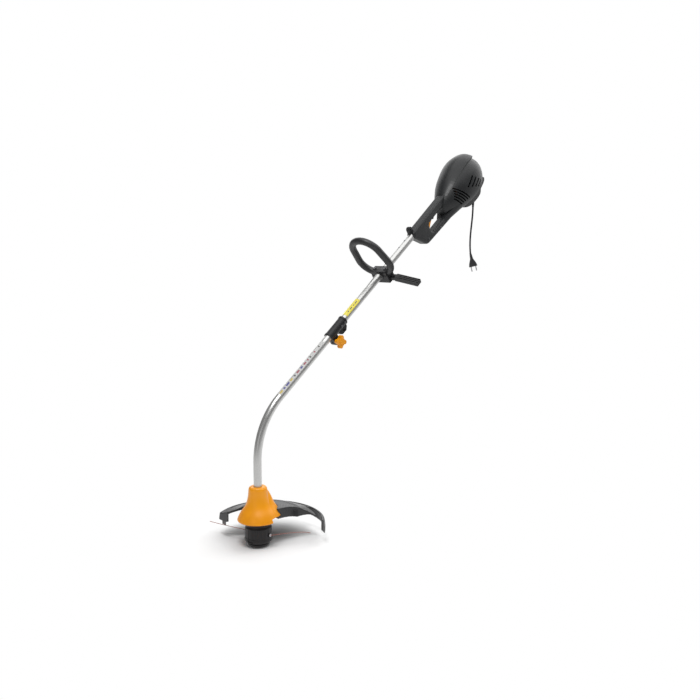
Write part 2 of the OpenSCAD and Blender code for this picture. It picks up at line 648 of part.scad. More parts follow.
// The motor housing's own axis, a little below the pole's and tilted up towards the end
module on_motor() across_pole(tilt_s) translate([0, -motor_drop, 0]) rotate([-motor_tilt, 0, 0])
    translate([0, 0, -tilt_s]) children();
module egg_solid(d = 0, front = 0) on_motor() rotate_extrude($fn = 96)
    polygon(concat([[0, egg[0][1] + front]],
        [for (p = egg) if (p[1] > egg[0][1] + front - 0.01) p - [d, 0]], [[0, egg_end - d]]));
module motor_slice(s0, s1) on_motor() translate([0, 0, s0]) cylinder(r = 150, h = s1 - s0);
hollow_front = 32;
joiner_s = egg[0][1] + hollow_front + 5;
joiner_l = 12;
module motor_hollow() intersection() {
    egg_solid(motor_wall, hollow_front);
    motor_slice(egg[0][1] + hollow_front, cap_s + 1);
}
// Cheeks that carry the handle's lower rail out into the housing
cheek_s = finger_s1 - 55;
cheek_n = finger_n0 - 3;
cheek_top = finger_n1 - 26;
module cheeks() hull() {
    across_pole(cheek_s) translate([edge_r - body_w / 2, cheek_n - 8.6, 0]) cube([body_w - 2 * edge_r, 7, 1]);
    across_pole(cheek_s) translate([1 - body_w / 2, cheek_n - 14.3, 12.3]) cube([body_w - 2, 8, 1]);
    intersection() {
        egg_solid(0.4);
        motor_slice(egg[0][1] + 34.3, egg[0][1] + 84.3);
        across_pole(cheek_s) translate([-100, cheek_top - 80, 0]) cube([200, 80, 200]);
    }
}
// Cooling slots on both sides, sloping down towards the back
vent_pitch = 9.1;
vent_slope = 61;
vent_at = [motor_s - 78, -11];
vent_long = 84;
vent_short = 48;
module vents() side_slots() translate(vent_at) rotate(-vent_slope)
    for (k = [0:vent_count - 1]) translate([0, -vent_pitch * k])
        square([vent_long - (vent_long - vent_short) * k / (vent_count - 1), vent_w], center = true);
// Wider louvres behind them, sloping the other way
louvre_at = [motor_s - 29, 6];
louvre_count = 4;
louvre_w = 7;
module louvres() side_slots() translate(louvre_at) rotate(25)
    for (k = [0:louvre_count - 1]) translate([8 * k, -17 * k]) square([50 - 6 * k, louvre_w], center = true);
// Slots through both sides, clear of the middle
module side_slots() for (y = [-110, 30]) on_pole() rotate([90, 0, 0]) rotate([0, 0, 90])
    translate([0, 0, y]) linear_extrude(80) children();

// Walls left across the hollow, which hold the bearings, the stator and the brushes
module hollow_walls() {
    for (s = bearing_s) on_pole(s - 2) tube(150, bearing_or - 2, bearing_t + 2);
    for (s = [stator_s + 4, stator_s + stator_l - 8]) on_pole(s) tube(150, stator_r, 4);
    on_pole(com_s + 4) tube(150, 14, 8);
}
lug_at = [neck_s + 9, 29];
lug_r = 10.5;
eye_r = 3.5;
module shell_whole() difference() {
    union() {
        handle_body();
        intersection() {
            egg_solid();
            motor_slice(egg[0][1], cap_s);
        }
        cheeks();
        // eye for a shoulder strap
        side_plate(12) {
            translate(lug_at) circle(r = lug_r);
            translate([lug_at[0] - lug_r, 0]) square([2 * lug_r, lug_at[1]]);
        }
        // cheeks either side of the trigger's pin
        side_plate(26) translate([trigger_pin_s, trigger_pin_n]) circle(r = 5.5);
    }
    difference() {
        motor_hollow();
        hollow_walls();
    }
    on_pole(neck_s - 5) cylinder(r = tube_r + 0.02, h = upper_top - neck_s + 5.3);
    on_pole(neck_s) cylinder(r = shaft_r + 1.5, h = motor_s - neck_s - 100);
    for (s = bearing_s) on_pole(s) cylinder(r = bearing_or, h = bearing_t);
    brush_boxes();
    cross_pin(lug_at[0], lug_at[1], eye_r, -10, 10);
    cross_pin(trigger_pin_s, trigger_pin_n, pin_r, -9, 9);
    side_plate(16) translate([switch_s, switch_n]) square([switch_l, switch_h]);
    side_plate(trigger_w + 1) polygon([[finger_s0 + 1, -22], [finger_s0 + 1, -8.5], [finger_s0 + 8, -7],
        [trigger_pin_s + 6, -6.5], [trigger_pin_s + 6, -20]]);
    vents();
    louvres();
}
module half(side) intersection() {
    children();
    across_pole(neck_s - 20) translate([side > 0 ? 0 : -120, -200, 0]) cube([120, 400, 600]);
}
module left_shell() color("#29292c") half(-1) shell_whole();
module right_shell() color("#29292c") half(1) shell_whole();

screw_at = [[toe_s, toe_n - 14], [cheek_s - 22, cheek_n - 9]];
module shell_screws() color("#8e9093") for (p = screw_at)
    cross_pin(p[0], p[1], 3.4, -body_w / 2 - 1.2, -body_w / 2);

// Smooth upper cover, proud of the housing and thicker at its back edge
cover_half = 38;
function cover_rise(s) = 1.2 + 13.3 * pow(max(0, (s - cover_s0) / (cover_s1 - cover_s0)), 5);
cover_line = [for (p = egg) if (p[1] > cover_s0 && p[1] < cover_s1) p];
module motor_cover() color("#323235") on_motor() rotate(90 - cover_half)
    rotate_extrude(angle = 2 * cover_half, $fn = 96) polygon(concat(
        [for (p = cover_line) p + [cover_rise(p[1]), 0]],
        [for (i = [len(cover_line) - 1:-1:0]) cover_line[i] + [0.05, 0]]));

// End cap, with air slots underneath
module rear_cap() color("#242427") difference() {
    intersection() {
        egg_solid();
        motor_slice(cap_s, motor_s + 150);
    }
    intersection() {
        egg_solid(motor_wall + 1);
        motor_slice(cap_s - 1, motor_s + 108);
    }
    for (a = [230:20:310]) on_motor() rotate(a) translate([0, -2, cap_s + 12]) cube([100, 4, 26]);
}

// Trigger, hung from a pin at its back end
trigger_w = 12;
trigger_pin_s = finger_s0 + 40;
trigger_pin_n = finger_n1 + 1;
pin_r = 1.5;
module trigger() color("#f08a1c") difference() {
    side_plate(trigger_w) {
        translate([trigger_pin_s, trigger_pin_n]) circle(r = 3.6);
        polygon([[trigger_pin_s, trigger_pin_n + 3.6], [finger_s0 + 10, -12], [finger_s0 + 6, -17],
            [finger_s0 + 6, -32], [finger_s0 + 10, -36], [finger_s0 + 22, -26],
            [trigger_pin_s, trigger_pin_n - 3.6]]);
    }
    cross_pin(trigger_pin_s, trigger_pin_n, pin_r + running, -trigger_w, trigger_w);
}
module trigger_pin() color("#b4b6b9") cross_pin(trigger_pin_s, trigger_pin_n, pin_r, -9, 9);
switch_s = neck_s + 62;
switch_n = -50;
switch_l = 24;
switch_h = 20;
module power_switch() color("#3a3a3d") side_plate(16) translate([switch_s, switch_n])
    square([switch_l, switch_h]);

// ---- motor ----

stator_s = motor_s - 78;
stator_l = 46;
armature_r = 24;
air_gap = 0.6;
stator_r = 40;
module stator() color("#6d6e72") on_pole(stator_s) difference() {
    cylinder(r = stator_r, h = stator_l);
    translate([0, 0, -1]) cylinder(r = armature_r + air_gap, h = stator_l + 2);
    for (a = [0, 180]) rotate(a) translate([armature_r - 1, -12, -1]) cube([8, 24, stator_l + 2]);
}
winding_t = 7;
module field_windings() color("#a5622c") on_pole(stator_s) for (z = [-winding_t, stator_l])
    translate([0, 0, z]) tube(36, 28, winding_t);
shaft_hole = shaft_r;
module armature() color("#77787c") on_pole(stator_s) difference() {
    cylinder(r = armature_r, h = stator_l);
    for (a = [0:30:330]) rotate(a) translate([armature_r - 3, -1.5, -1]) cube([5, 3, stator_l + 2]);
    translate([0, 0, -1]) cylinder(r = shaft_hole, h = stator_l + 2);
}
com_s = stator_s + stator_l + 10;
com_r = 12;
com_l = 16;
module commutator() color("#b5763c") on_pole(com_s) tube(com_r, shaft_hole, com_l);
fan_s = stator_s - 26;
fan_r = 34;
module cooling_fan() color("#3c3d40") on_pole(fan_s) difference() {
    union() {
        cylinder(r = 10, h = 14);
        cylinder(r = fan_r, h = 2);
        for (a = [0:40:320]) rotate(a) translate([9, -1, 1]) cube([fan_r - 9.2, 2, 11]);
    }
    translate([0, 0, -1]) cylinder(r = shaft_hole, h = 18);
}
motor_shaft_top = com_s + 34;
bearing_or = 11;
bearing_t = 7;
bearing_s = [fan_s - 12, com_s + 22];
module motor_bearings() color("#c6c8ca") for (s = bearing_s) on_pole(s)
    tube(bearing_or, shaft_r + running, bearing_t);
module brush_boxes() across_pole(com_s + 8) for (m = [0, 1]) mirror([m, 0, 0])
    translate([com_r + 0.1, -3, -3]) cube([18, 6, 6]);
module brushes() color("#4a4a4a") brush_boxes();

// ---- cord ----

// Bracket under the motor housing: the cord leaves its thick front, and its back end is a hook for the cord,
// as (distance along the housing, distance out from its axis)
hook_w = 18;
bracket = [[-52, 70], [-45, 92], [-34, 100], [-17, 109], [21, 119], [48, 122], [68, 121], [78, 116],
    [86, 108], [112, 104], [127, 99], [133, 91], [129, 83], [112, 85], [92, 91], [70, 93], [62, 84],
    [60, 60], [0, 60]];
module hook_plate() on_motor() translate([0, 0, motor_s]) rotate([0, 90, 0])
    linear_extrude(hook_w, center = true) polygon([for (p = bracket) [-p[0], -p[1]]]);
module cord_hook() color("#1e1e20") difference() {
    hook_plate();
    egg_solid(-0.05);
}
exit_p = [1144, 0, 1124];
relief_h = 26;
module cord_relief() color("#1e1e20") difference() {
    translate(exit_p) rotate([0, 180, 0]) rotate_extrude() polygon([[cord_r, 0], [5.8, 0],
        [cord_r + 0.7, relief_h], [cord_r, relief_h]]);
    hook_plate();
}
cord_r = cord_d / 2;
cord_route = [[1144, 0, 1112], [1144, 0, 1094], [1143, 0, 1076], [1141, 0, 1056], [1137, 0, 1030],
    [1133, 0, 1005], [1130, 0, 980], [1129, 0, 956], [1130, 0, 934], [1133, 0, 912]];
module mains_cord() color("#202022") swept(smooth(cord_route, 2), cord_d / 2, 10);
plug_p = [1133, 0, 912];
plug_tilt = 14;
module on_plug() translate(plug_p) rotate([0, 0, -46]) rotate([0, 180 - plug_tilt, 0]) children();
boot_h = 24;
plug_h = 54;
plug_w = 34;
plug_t = 12;
module plug_body() color("#202022") on_plug() {
    cylinder(r1 = cord_r + 0.8, r2 = cord_r + 2.5, h = boot_h);
    rotate([90, 0, 0]) linear_extrude(plug_t, center = true) polygon([[-6, boot_h - 2], [6, boot_h - 2],
        [plug_w / 2 - 1, plug_h - 9], [plug_w / 2, plug_h], [-plug_w / 2, plug_h],
        [1 - plug_w / 2, plug_h - 9]]);
}
pin_w = 19;
pin_l = 19;
module plug_pins() color("#c9cbcd") on_plug() for (x = [-0.5, 0.5]) translate([pin_w * x, 0, plug_h])
    cylinder(r = 2.4, h = pin_l);

bump_knob();
spool();
spooled_line();
bump_spring();
head_drum();
head_cap();
line_eyelets();
cutting_line();
head_spindle();
dust_washer();
spindle_bearings();
bell_housing();
guard();
guard_screws();
line_knife();
knife_screws();
lower_tube();
cable_liner();
drive_cable();
coupling_sleeve();
coupling_screws();
coupling_bolt();
coupling_knob();
upper_tube();
shaft_bushes();
drive_shaft();
handle_liner();
loop_handle();
handle_clamp();
handle_bolts();
handle_nuts();
barrier_bar();
bar_screw();
left_shell();
right_shell();
shell_screws();
motor_cover();
rear_cap();
trigger();
trigger_pin();
power_switch();
stator();
field_windings();
armature();
commutator();
cooling_fan();
motor_bearings();
brushes();
cord_hook();
cord_relief();
mains_cord();
plug_body();
plug_pins();
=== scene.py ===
# %% [markdown]
# # An electric string trimmer
#
# A leaning aluminium pole carries a motor and two handles at its top and a line head in an orange bell at its
# foot. The exact solids come from the CAD part, and this script gives each one its finish. It also makes the
# pieces that are soft, printed or too fine for those solids: the mains lead and its plug, the loop handle's
# skin, the bump spring's coil, the labels and two rivets. Everything is in metres, in the part's own frame: the
# origin is on the ground under the line head.

import math

import bmesh
import bpy
from mathutils import Matrix, Vector


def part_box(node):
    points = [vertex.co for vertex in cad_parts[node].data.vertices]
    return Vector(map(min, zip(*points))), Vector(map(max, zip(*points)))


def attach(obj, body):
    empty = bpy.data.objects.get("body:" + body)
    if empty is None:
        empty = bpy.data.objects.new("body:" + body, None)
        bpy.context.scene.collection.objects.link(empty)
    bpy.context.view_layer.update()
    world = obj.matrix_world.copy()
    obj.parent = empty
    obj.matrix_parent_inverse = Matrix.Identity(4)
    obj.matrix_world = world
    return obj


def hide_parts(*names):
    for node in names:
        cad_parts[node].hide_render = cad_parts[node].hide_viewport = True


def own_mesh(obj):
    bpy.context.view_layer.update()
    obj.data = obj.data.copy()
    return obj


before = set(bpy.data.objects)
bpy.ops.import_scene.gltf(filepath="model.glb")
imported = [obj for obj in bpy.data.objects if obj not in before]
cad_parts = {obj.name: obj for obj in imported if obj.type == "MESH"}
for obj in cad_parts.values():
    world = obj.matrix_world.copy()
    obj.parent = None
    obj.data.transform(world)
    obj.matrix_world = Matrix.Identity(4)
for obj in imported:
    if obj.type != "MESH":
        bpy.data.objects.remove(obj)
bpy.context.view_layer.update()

# %% [markdown]
# ## Where things are
#
# Most pieces sit on a pole that leans 52 degrees from the vertical. A point on it is easiest to give as a
# distance up the pole, a distance to the operator's right, and a distance out from the pole's axis on its upper
# side. One function turns those three numbers into the part's frame, and the loop handle, the labels and the
# rivets are all placed with it.

# %% Points and directions on the leaning pole
LEAN = math.radians(52)
UP_POLE = Vector((math.sin(LEAN), 0, math.cos(LEAN)))
OUT_POLE = Vector((-math.cos(LEAN), 0, math.sin(LEAN)))
RIGHT = Vector((0, 1, 0))
BEND_HEIGHT, BEND_RADIUS = 0.268, 0.248
POLE_START = Vector((BEND_RADIUS * (1 - math.cos(LEAN)), 0, BEND_HEIGHT + BEND_RADIUS * math.sin(LEAN)))
TUBE_R = 0.013


def on_pole(up, right=0.0, out=0.0):
    """A point in metres: up the pole, to the operator's right, and out from the pole's axis."""
    return POLE_START + up * UP_POLE + right * RIGHT + out * OUT_POLE


print("the pole starts at", [round(v, 4) for v in POLE_START])

# %% [markdown]
# ## Shader maths as Python
#
# A material is a small program. Wrapping a node's output socket in a class with overloaded operators lets that
# program be read as ordinary expressions, such as `0.4 + 0.1 * noise`. Only numbers go through Math nodes:
# colours and vectors use Mix and Vector Math, because a Math node would turn a colour grey.


# %% A socket that knows arithmetic
class Wire:
    """One output of a node. Arithmetic on it adds Math nodes to its material."""

    def __init__(self, paint, socket):
        self.paint, self.socket = paint, socket

    def math(self, operation, a, b=0.0):
        return self.paint.node("ShaderNodeMath", {"operation": operation}, {0: a, 1: b})

    def __add__(self, other):
        return self.math("ADD", self, other)

    def __radd__(self, other):
        return self.math("ADD", other, self)

    def __sub__(self, other):
        return self.math("SUBTRACT", self, other)

    def __mul__(self, other):
        return self.math("MULTIPLY", self, other)

    def __rmul__(self, other):
        return self.math("MULTIPLY", other, self)


# %% [markdown]
# The material itself is a second small class. Its `node` method makes any node: first the settings, which can
# change the sockets, then the values or wires that go into them. The rest are the few mixtures that plastics,
# metals and rubber share.


# %% A material and the nodes it is made from
class Paint:
    """A material under construction."""

    def __init__(self, name):
        self.material = bpy.data.materials.new(name)
        self.material.use_nodes = True
        self.tree = self.material.node_tree
        self.tree.nodes.clear()
        self.place = self.node("ShaderNodeTexCoord", out="Object")

    def node(self, kind, settings=None, inputs=None, out=0):
        made = self.tree.nodes.new(kind)
        for key, value in (settings or {}).items():
            setattr(made, key, value)
        for key, value in (inputs or {}).items():
            socket = made.inputs[key]
            if isinstance(value, Wire):
                self.tree.links.new(value.socket, socket)
            elif hasattr(value, "__len__") and len(value) == 3 and socket.type == "RGBA":
                socket.default_value = (*value, 1)
            else:
                socket.default_value = value
        return Wire(self, made.outputs[out])

    def mix(self, a, b, share):
        """Colour a where share is 0, colour b where it is 1."""
        return self.node("ShaderNodeMix", {"data_type": "RGBA"}, {0: share, 6: a, 7: b}, out=2)

    def stretched(self, *scale):
        """The place on the piece, scaled along x, y and z, so that a pattern is drawn out."""
        return self.node("ShaderNodeVectorMath", {"operation": "MULTIPLY"}, {0: self.place, 1: scale})

    def along(self, direction, start=None):
        """How far a point lies from start along a direction, in metres."""
        dot = self.node("ShaderNodeVectorMath", {"operation": "DOT_PRODUCT"},
                        {0: self.place, 1: direction}, out="Value")
        return dot if start is None else dot - direction.dot(start)

    def noise(self, per_metre, detail=3.0, where=None):
        return self.node("ShaderNodeTexNoise", None,
                         {"Vector": where or self.place, "Scale": per_metre, "Detail": detail}, out="Fac")

    def band(self, value, low, high, start=0.0, end=1.0):
        """A number that goes smoothly from start to end while value goes from low to high."""
        return self.node("ShaderNodeMapRange", {"interpolation_type": "SMOOTHSTEP"},
                         {"Value": value, "From Min": low, "From Max": high, "To Min": start, "To Max": end})

    def stripes(self, value, period, edge=0.2):
        """0 and 1 in turn along value, one of each every period."""
        wave = value.math("SINE", value * (2 * math.pi / period))
        return self.band(wave, -edge, edge)

    def bump(self, height, strength, depth):
        return self.node("ShaderNodeBump", None,
                         {"Strength": strength, "Distance": depth, "Height": height})

    def finish(self, colour, roughness, normal=None, **constants):
        """The Principled shader: what varies goes to colour, roughness and normal, all else is a constant."""
        inputs = {"Base Color": colour, "Roughness": roughness}
        if normal is not None:
            inputs["Normal"] = normal
        for key, value in constants.items():
            inputs[key.replace("_", " ").title().replace("Ior", "IOR")] = value
        surface = self.node("ShaderNodeBsdfPrincipled", None, inputs)
        return self.output(surface)

    def output(self, surface):
        end = self.tree.nodes.new("ShaderNodeOutputMaterial")
        self.tree.links.new(surface.socket, end.inputs["Surface"])
        return self.material


print("shader helpers are ready")

# %% [markdown]
# ## The camera
#
# It stands in front of the head, to the operator's left and a little above the middle of the pole, and looks
# slightly down. Its distance sets how much nearer things grow, so it was found together with the sizes.

# %% The camera
AIM = Vector((0.4208, 0, 0.5839))
EYE = Vector((-1.5014, -1.8306, 0.9373))
camera = bpy.data.objects.new("camera", bpy.data.cameras.new("camera"))
camera.location = EYE
camera.rotation_mode = "QUATERNION"
camera.rotation_quaternion = (AIM - EYE).to_track_quat("-Z", "Y")
camera.data.lens, camera.data.sensor_width = 39.66, 36
bpy.context.scene.collection.objects.link(camera)
bpy.context.scene.camera = camera
print("the camera is", round((AIM - EYE).length, 2), "m from what it aims at")

# %% [markdown]
# ## The finishes
#
# Moulded black plastic is never one flat black. The mould's surface is etched, so the part has a fine grain
# that breaks up its highlights; the pigment flows a little unevenly; and dust greys it slightly in broad
# patches.


# %% Moulded plastics
def moulded(name, colour, roughness, grain, depth, dusty=0.12, specular=0.32):
    """A moulded plastic: etched grain, uneven pigment, a little dust."""
    p = Paint(name)
    patches = p.noise(14, 3)
    fine = p.noise(grain, 2)
    dust_grey, full_cover, thin_pigment = 0.35, 0.16, 0.82
    pale = tuple(c + dusty * (dust_grey - c) * full_cover for c in colour)
    dark = tuple(c * thin_pigment for c in colour)
    body = p.mix(p.mix(dark, colour, p.band(fine, 0.35, 0.6)), pale, p.band(patches, 0.45, 0.75))
    return p.finish(body, roughness + 0.12 * (patches - 0.5) + 0.08 * (fine - 0.5),
                    p.bump(fine, 0.3, depth), specular_ior_level=specular)


HOUSING = moulded("housing_black", (0.015, 0.016, 0.017), 0.42, 1500, 0.000004)
COVER = moulded("cover_satin_black", (0.013, 0.014, 0.015), 0.36, 1500, 0.000003)
FITTING = moulded("fitting_black", (0.011, 0.011, 0.012), 0.42, 1500, 0.000004)
HEAD = moulded("head_black", (0.014, 0.012, 0.013), 0.36, 1500, 0.000004)
INSIDE = moulded("inner_grey_plastic", (0.10, 0.10, 0.11), 0.5, 1200, 0.0001)
NYLON = moulded("natural_nylon", (0.78, 0.75, 0.68), 0.45, 900, 0.00005, dusty=0)
print("moulded plastics are ready")

# %% [markdown]
# The bell, the clamp knob and the trigger are orange plastic with a satin face. Their colour is the strongest
# thing on the tool, so it is kept clean: a trace of flow marks, a faint painted shade that darkens the bell and
# the knob towards their bottoms, and a grain too fine to see from far away.


# %% Orange plastic
def orange(name, colour, painted_shade, low, high):
    """An orange plastic with painted shade: darker (painted_shade) at the height low, its own colour at the
    height high.
    """
    p = Paint(name)
    height = p.along(Vector((0, 0, 1)))
    flow = p.noise(30, 3, where=p.stretched(1, 1, 0.2))
    fine = p.noise(1400, 2)
    # painted shade: the colour darkens towards the bottom, from the height high down to the height low
    body = p.mix(painted_shade, colour, p.band(height, low, high))
    body = p.mix(body, tuple(min(1, c * 1.06) for c in colour), p.band(flow, 0.4, 0.7, 0, 0.5))
    return p.finish(body, 0.36 + 0.10 * (flow - 0.5), p.bump(fine, 0.4, 0.00006), specular_ior_level=0.45)


# the second colour of each is the painted shade that the part darkens to low down
BELL = orange("bell_orange", (0.88, 0.33, 0.001), (0.80, 0.285, 0.001), 0.08, 0.15)
KNOB = orange("knob_orange", (0.76, 0.295, 0.001), (0.68, 0.255, 0.001), 0.55, 0.64)
print("orange plastics are ready")

# %% [markdown]
# The guard is polypropylene with a polished mould face. The melt runs out from the middle, so its faint flow
# marks are arcs round the head, and grass has scuffed it into fine scratches along the same arcs.


# %% The guard's polished plastic
def guard_finish():
    """A pattern on the turn and reach round the head, stretched along the arcs."""
    p = Paint("guard_polished_black")
    ahead = p.node("ShaderNodeSeparateXYZ", None, {0: p.place}, out="X")
    across = Wire(p, ahead.socket.node.outputs["Y"])
    turn = ahead.math("ARCTAN2", across, ahead)
    reach = ahead.math("SQRT", ahead * ahead + across * across)
    rounds = p.node("ShaderNodeCombineXYZ", None, {0: reach * 260, 1: turn * 3})
    scuffs = p.node("ShaderNodeTexNoise", None, {"Vector": rounds, "Scale": 3.0, "Detail": 4.0}, out="Fac")
    clouds = p.noise(12, 3)
    body = p.mix((0.014, 0.014, 0.015), (0.024, 0.024, 0.026),
                 p.band(clouds * 0.7 + scuffs * 0.3, 0.35, 0.75))
    return p.finish(body, 0.26 + 0.05 * scuffs + 0.08 * (clouds - 0.5), p.bump(scuffs, 0.2, 0.00001),
                    specular_ior_level=0.48)


GUARD = guard_finish()
print("guard finish is ready")

# %% [markdown]
# The tubes are drawn aluminium, clear anodised: fine lines run along the draw, the reflections are broad, and
# long rubs from handling make them a little sharper or duller. The lines follow the pole, so the pattern is
# stretched along the pole's own direction and not along x, y or z.


# %% Drawn aluminium
def drawn_aluminium():
    """A pattern on the distances along, beside and out from the pole, three hundred times finer across."""
    p = Paint("drawn_aluminium")
    along, out = p.along(UP_POLE, POLE_START), p.along(OUT_POLE, POLE_START)
    side = p.along(RIGHT)
    lines = p.node("ShaderNodeCombineXYZ", None, {0: along * 3, 1: side * 900, 2: out * 900})
    drawn = p.node("ShaderNodeTexNoise", None, {"Vector": lines, "Scale": 1.0, "Detail": 3.0}, out="Fac")
    rubs = p.noise(9, 3, where=lines)
    body = p.mix((0.50, 0.50, 0.492), (0.56, 0.56, 0.552), p.band(drawn, 0.3, 0.7))
    return p.finish(body, 0.29 + 0.06 * (drawn - 0.5) + 0.05 * (rubs - 0.5), p.bump(drawn, 0.05, 0.000002),
                    metallic=0.85)


TUBE = drawn_aluminium()
print("drawn aluminium is ready")

# %% [markdown]
# Fasteners are zinc plated or blackened, bearings are ground, and the blade has grinding marks: each is a metal
# with a fine grain, so one function makes them all, with the grain as an argument. The motor's stack shows its
# sheets and the windings and the cable show their turns, so a second function lays stripes along the pole.


# %% Small metal parts
def metal(name, colour, roughness, per_metre=600, stretch=(1, 1, 1), depth=0.00003, tint=0.8):
    """A bare or plated metal: a grain that can be drawn out, and faint stains down to tint."""
    p = Paint(name)
    grain = p.noise(per_metre, 3, where=p.stretched(*stretch))
    stain = p.noise(60, 2)
    body = p.mix(tuple(c * tint for c in colour), colour, p.band(grain * 0.5 + stain * 0.5, 0.35, 0.65))
    return p.finish(body, roughness + 0.15 * (grain - 0.5), p.bump(grain, 0.3, depth), metallic=1.0)


ZINC = metal("zinc_plated_steel", (0.62, 0.62, 0.64), 0.30)
OILED = metal("blackened_steel", (0.16, 0.16, 0.17), 0.38)
GROUND = metal("ground_steel", (0.66, 0.66, 0.68), 0.25, 900, (0.05, 1, 1))
BLADE = metal("blade_steel", (0.12, 0.11, 0.11), 0.34, 1400, (1, 1, 0.04), 0.00006)
COPPER = metal("copper_segments", (0.72, 0.36, 0.18), 0.28, 700)


def layered(name, dark, light, period, roughness, metallic):
    """Thin sheets or turns of wire, side by side along the pole."""
    p = Paint(name)
    layer = p.stripes(p.along(UP_POLE, POLE_START), period)
    return p.finish(p.mix(dark, light, layer), 0.1 * p.noise(200) + roughness,
                    p.bump(layer, 0.6, period * 0.2), metallic=metallic)


SHEETS = layered("core_sheets", (0.18, 0.18, 0.19), (0.42, 0.42, 0.44), 0.001, 0.4, 0.9)
WINDING = layered("enamelled_winding", (0.10, 0.035, 0.012), (0.26, 0.10, 0.035), 0.0011, 0.30, 0.6)
CABLE = layered("wound_cable", (0.10, 0.10, 0.11), (0.34, 0.34, 0.36), 0.0012, 0.3, 0.9)
print("metals are ready")

# %% [markdown]
# The loop handle has a soft, closed skin with a fine leathery grain and a broad dull sheen. The mains lead is
# smooth PVC that has picked up a little dust, and the brushes are dull pressed carbon, so one function with the
# grain as an argument serves all three. The cutting line is reddish nylon and has its own.


# %% Rubber, PVC, line and carbon
def rubber(name, colour, roughness, grain, depth):
    """A soft or sooty black: small cells as its grain, and paler where it is worn."""
    p = Paint(name)
    cells = p.node("ShaderNodeTexVoronoi", None, {"Vector": p.place, "Scale": grain}, out="Distance")
    wear = p.noise(18, 3)
    body = p.mix(colour, tuple(c * 1.7 + 0.004 for c in colour), p.band(wear, 0.45, 0.8))
    return p.finish(body, roughness + 0.14 * (wear - 0.5), p.bump(cells, 0.35, depth),
                    specular_ior_level=0.5)


GRIP = rubber("soft_grip_rubber", (0.012, 0.012, 0.013), 0.44, 700, 0.00012)
PVC = rubber("cord_pvc", (0.018, 0.018, 0.020), 0.40, 1600, 0.00003)
CARBON = rubber("brush_carbon", (0.035, 0.035, 0.036), 0.55, 1800, 0.00008)


def line_finish():
    """Reddish nylon line with a slight cloudiness."""
    p = Paint("trimmer_line")
    shade = p.noise(400, 3)
    body = p.mix((0.30, 0.10, 0.08), (0.42, 0.17, 0.14), p.band(shade, 0.3, 0.7))
    return p.finish(body, 0.25 + 0.1 * shade, p.bump(shade, 0.2, 0.00005), specular_ior_level=0.6)


LINE = line_finish()
print("rubber, PVC, line and carbon are ready")

# %% [markdown]
# ## Dressing the CAD solids
#
# Each solid keeps its shape and takes its finish here, from one table of finishes and the solids that have
# them. A solid that is missing from the table is printed, so none is left bare unseen.

# %% One finish for each solid
finish_of = {
    HOUSING: ["left_shell", "right_shell"],
    COVER: ["motor_cover", "rear_cap"],
    FITTING: ["coupling_sleeve", "handle_clamp", "barrier_bar", "cord_hook", "cord_relief"],
    HEAD: ["bump_knob", "spool", "head_drum", "head_cap"],
    INSIDE: ["power_switch", "cooling_fan"],
    NYLON: ["cable_liner", "shaft_bushes"],
    BELL: ["bell_housing"],
    KNOB: ["coupling_knob", "trigger"],
    GUARD: ["guard"],
    TUBE: ["lower_tube", "upper_tube"],
    ZINC: ["bump_spring", "line_eyelets", "dust_washer", "guard_screws", "knife_screws", "coupling_bolt",
           "trigger_pin", "plug_pins"],
    OILED: ["coupling_screws", "shell_screws", "handle_bolts", "handle_nuts", "bar_screw"],
    GROUND: ["head_spindle", "spindle_bearings", "drive_shaft", "motor_bearings"],
    BLADE: ["line_knife"],
    COPPER: ["commutator"],
    SHEETS: ["stator", "armature"],
    WINDING: ["field_windings"],
    CABLE: ["drive_cable"],
    GRIP: ["loop_handle", "handle_liner"],
    PVC: ["mains_cord", "plug_body"],
    CARBON: ["brushes"],
    LINE: ["spooled_line", "cutting_line"],
}
for material, nodes in finish_of.items():
    for node in nodes:
        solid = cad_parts[node]
        solid.data.materials.clear()
        solid.data.materials.append(material)
dressed = {node for nodes in finish_of.values() for node in nodes}
print(len(dressed), "solids have a finish; without one:", sorted(set(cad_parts) - dressed))

# %% [markdown]
# ## Making pieces
#
# Made pieces need three tools: a way to link a mesh and ride it on a body, a smooth curve through a few points,
# and a skin over rings of points. The pieces ride on the CAD's bodies, so they move with the joints.

# %% Tools for made pieces
def piece(name, mesh, body, material, smooth=35):
    """Link a mesh as a piece of the object, on its body and with its finish."""
    made = bpy.data.objects.new(name, mesh)
    bpy.context.scene.collection.objects.link(made)
    mesh.materials.append(material)
    mesh.shade_smooth()
    mesh.set_sharp_from_angle(angle=math.radians(smooth))
    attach(made, body)
    print(name, "has", len(mesh.polygons), "faces")
    return made


def rounded(points, steps):
    """A Catmull-Rom curve through the points, steps to each span."""
    curve = []
    for i in range(len(points) - 1):
        a, b, c, d = (Vector(points[min(max(i + k, 0), len(points) - 1)]) for k in (-1, 0, 1, 2))
        for k in range(steps):
            t = k / steps
            curve.append(0.5 * (2 * b + (c - a) * t + (2 * a - 5 * b + 4 * c - d) * t * t
                                + (3 * b - a - 3 * c + d) * t ** 3))
    return curve + [Vector(points[-1])]


def skin(rings, capped=True):
    """A mesh over rings of points, each ring as long as the next, with a face over either end if capped."""
    mesh, build = bpy.data.meshes.new("skin"), bmesh.new()
    rows = [[build.verts.new(p) for p in ring] for ring in rings]
    for near, far in zip(rows, rows[1:]):
        for k in range(len(near)):
            j = (k + 1) % len(near)
            build.faces.new((near[k], near[j], far[j], far[k]))
    if capped:
        build.faces.new(rows[0][::-1])
        build.faces.new(rows[-1])
    bmesh.ops.recalc_face_normals(build, faces=build.faces)
    build.to_mesh(mesh)
    build.free()
    return mesh


print("piece tools are ready")

# %% [markdown]
# ## Softening the big mouldings
#
# A real moulding has no sharp edge: every corner has a radius of a millimetre or two, and where a boss or a
# flare meets a wall the mould is blended. The bell and the guard are built as exact solids with hard edges, so
# each gets a softened double: remeshed to small even cells, then smoothed a few times, which rounds the corners
# and blends the joins. A bevel can't do this here, because the edges meet in too many directions.


